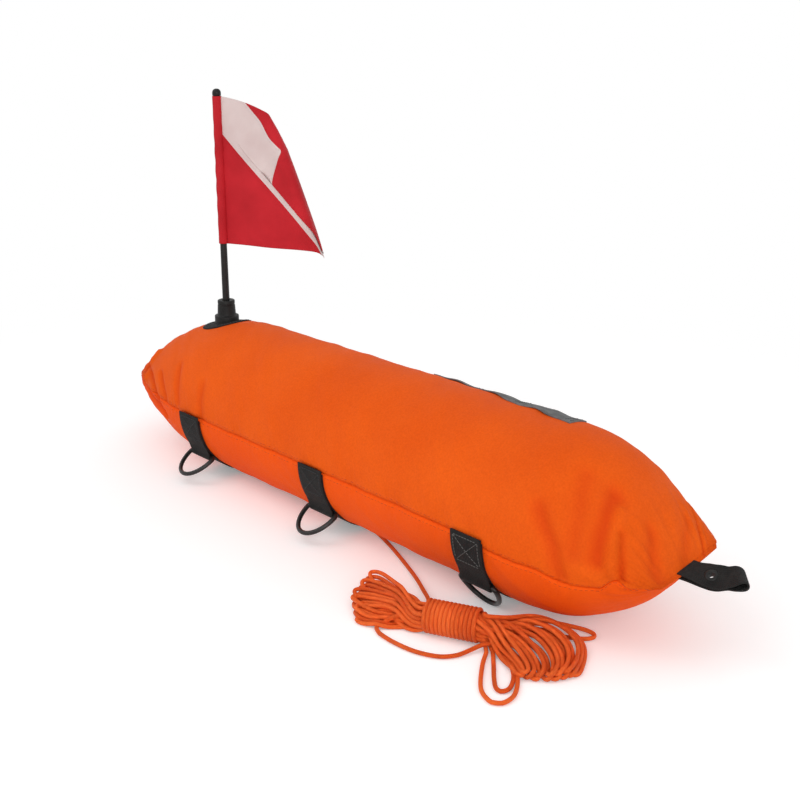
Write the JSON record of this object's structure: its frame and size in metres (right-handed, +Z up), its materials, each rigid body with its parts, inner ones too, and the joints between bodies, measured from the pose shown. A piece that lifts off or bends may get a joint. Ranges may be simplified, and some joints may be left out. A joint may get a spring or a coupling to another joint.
{
  "type": "dive flag float",
  "caption": "Inflatable torpedo-shaped surface float in a sewn cover, with a lift-out flag staff, D-rings on belly straps, a tow loop and a tied hank of line.",
  "frame": {"origin": "middle of the flat underside of the middle belly strap, where the float rests on the floor", "axes": "+X along the float towards its nose and tow loop, +Z up along the flag staff, +Y towards the far side, where the zip and the gear strap are"},
  "size_m": [0.877, 0.2842, 0.4443],
  "materials": {
    "orange_nylon": "woven, slightly shiny coating",
    "belly_nylon": "woven, slightly shiny coating",
    "clear_vinyl": "smooth film",
    "black_webbing": "ribbed weave",
    "grey_webbing": "ribbed weave",
    "coated_wire": "satin coating",
    "black_patch": "matt",
    "black_rubber": "moulded, satin",
    "black_plastic": "moulded, satin",
    "zip_tape": "fine weave",
    "dark_metal": "satin",
    "red_flag_cloth": "fine weave",
    "white_flag_cloth": "fine weave",
    "orange_line": "braided"
  },
  "bodies": {
    "float": {"upper_cover_panel": "orange_nylon", "belly_cover_panel": "belly_nylon", "bladder": "clear_vinyl", "valve_body": "clear_vinyl", "valve_plug": "clear_vinyl", "rear_belly_strap": "black_webbing", "middle_belly_strap": "black_webbing", "front_belly_strap": "black_webbing", "mast_patch": "black_patch", "staff_socket": "black_rubber", "gear_strap": "grey_webbing", "zip_tape_upper": "zip_tape", "zip_tape_lower": "zip_tape", "zip_coil": "black_plastic", "zip_stop_tail": "dark_metal", "zip_stop_nose": "dark_metal", "tow_loop": "black_webbing", "tow_eyelet": "black_plastic", "line_lead": "orange_line", "line_wrap": "orange_line", "line_hank": "orange_line"},
    "rear_near_ring": {"rear_near_ring": "coated_wire"},
    "rear_far_ring": {"rear_far_ring": "coated_wire"},
    "middle_near_ring": {"middle_near_ring": "coated_wire"},
    "middle_far_ring": {"middle_far_ring": "coated_wire"},
    "front_near_ring": {"front_near_ring": "coated_wire"},
    "front_far_ring": {"front_far_ring": "coated_wire"},
    "staff": {"flag_staff": "black_plastic", "staff_cap": "black_plastic"},
    "flag": {"flag_sleeve": "red_flag_cloth", "flag_lower_red": "red_flag_cloth", "flag_white_stripe": "white_flag_cloth", "flag_upper_red": "red_flag_cloth"},
    "zip_slider": {"zip_slider": "dark_metal"},
    "zip_pull": {"zip_pull": "dark_metal"}
  },
  "joints": [
    {"name": "rear_near_ring_swing", "type": "hinge", "parent": "float", "child": "rear_near_ring", "pos_m": [-0.225, -0.07347, 0.02985], "axis": [1, 0, 0], "range_deg": [-72, 99]},
    {"name": "rear_far_ring_swing", "type": "hinge", "parent": "float", "child": "rear_far_ring", "pos_m": [-0.225, 0.07347, 0.02985], "axis": [-1, 0, 0], "range_deg": [-72, 99]},
    {"name": "middle_near_ring_swing", "type": "hinge", "parent": "float", "child": "middle_near_ring", "pos_m": [0, -0.07347, 0.02985], "axis": [1, 0, 0], "range_deg": [-72, 99]},
    {"name": "middle_far_ring_swing", "type": "hinge", "parent": "float", "child": "middle_far_ring", "pos_m": [0, 0.07347, 0.02985], "axis": [-1, 0, 0], "range_deg": [-72, 99]},
    {"name": "front_near_ring_swing", "type": "hinge", "parent": "float", "child": "front_near_ring", "pos_m": [0.225, -0.07347, 0.02985], "axis": [1, 0, 0], "range_deg": [-165, 6]},
    {"name": "front_far_ring_swing", "type": "hinge", "parent": "float", "child": "front_far_ring", "pos_m": [0.225, 0.07347, 0.02985], "axis": [-1, 0, 0], "range_deg": [-72, 99]},
    {"name": "staff_lift_out", "type": "slide", "parent": "float", "child": "staff", "axis": [0, 0, 1], "range_m": [0, 0.0202]},
    {"name": "flag_swing", "type": "hinge", "parent": "staff", "child": "flag", "pos_m": [-0.27, 0, 0.266], "axis": [0, 0, 1], "continuous": true},
    {"name": "zip_slide", "type": "slide", "parent": "float", "child": "zip_slider", "axis": [1, 0, 0], "range_m": [-0.283, 0]},
    {"name": "zip_pull_flip", "type": "hinge", "parent": "zip_slider", "child": "zip_pull", "pos_m": [0.1417, 0.08597, 0.11913], "axis": [0, 0.3581, -0.9337], "range_deg": [0, 185]}
  ]
}
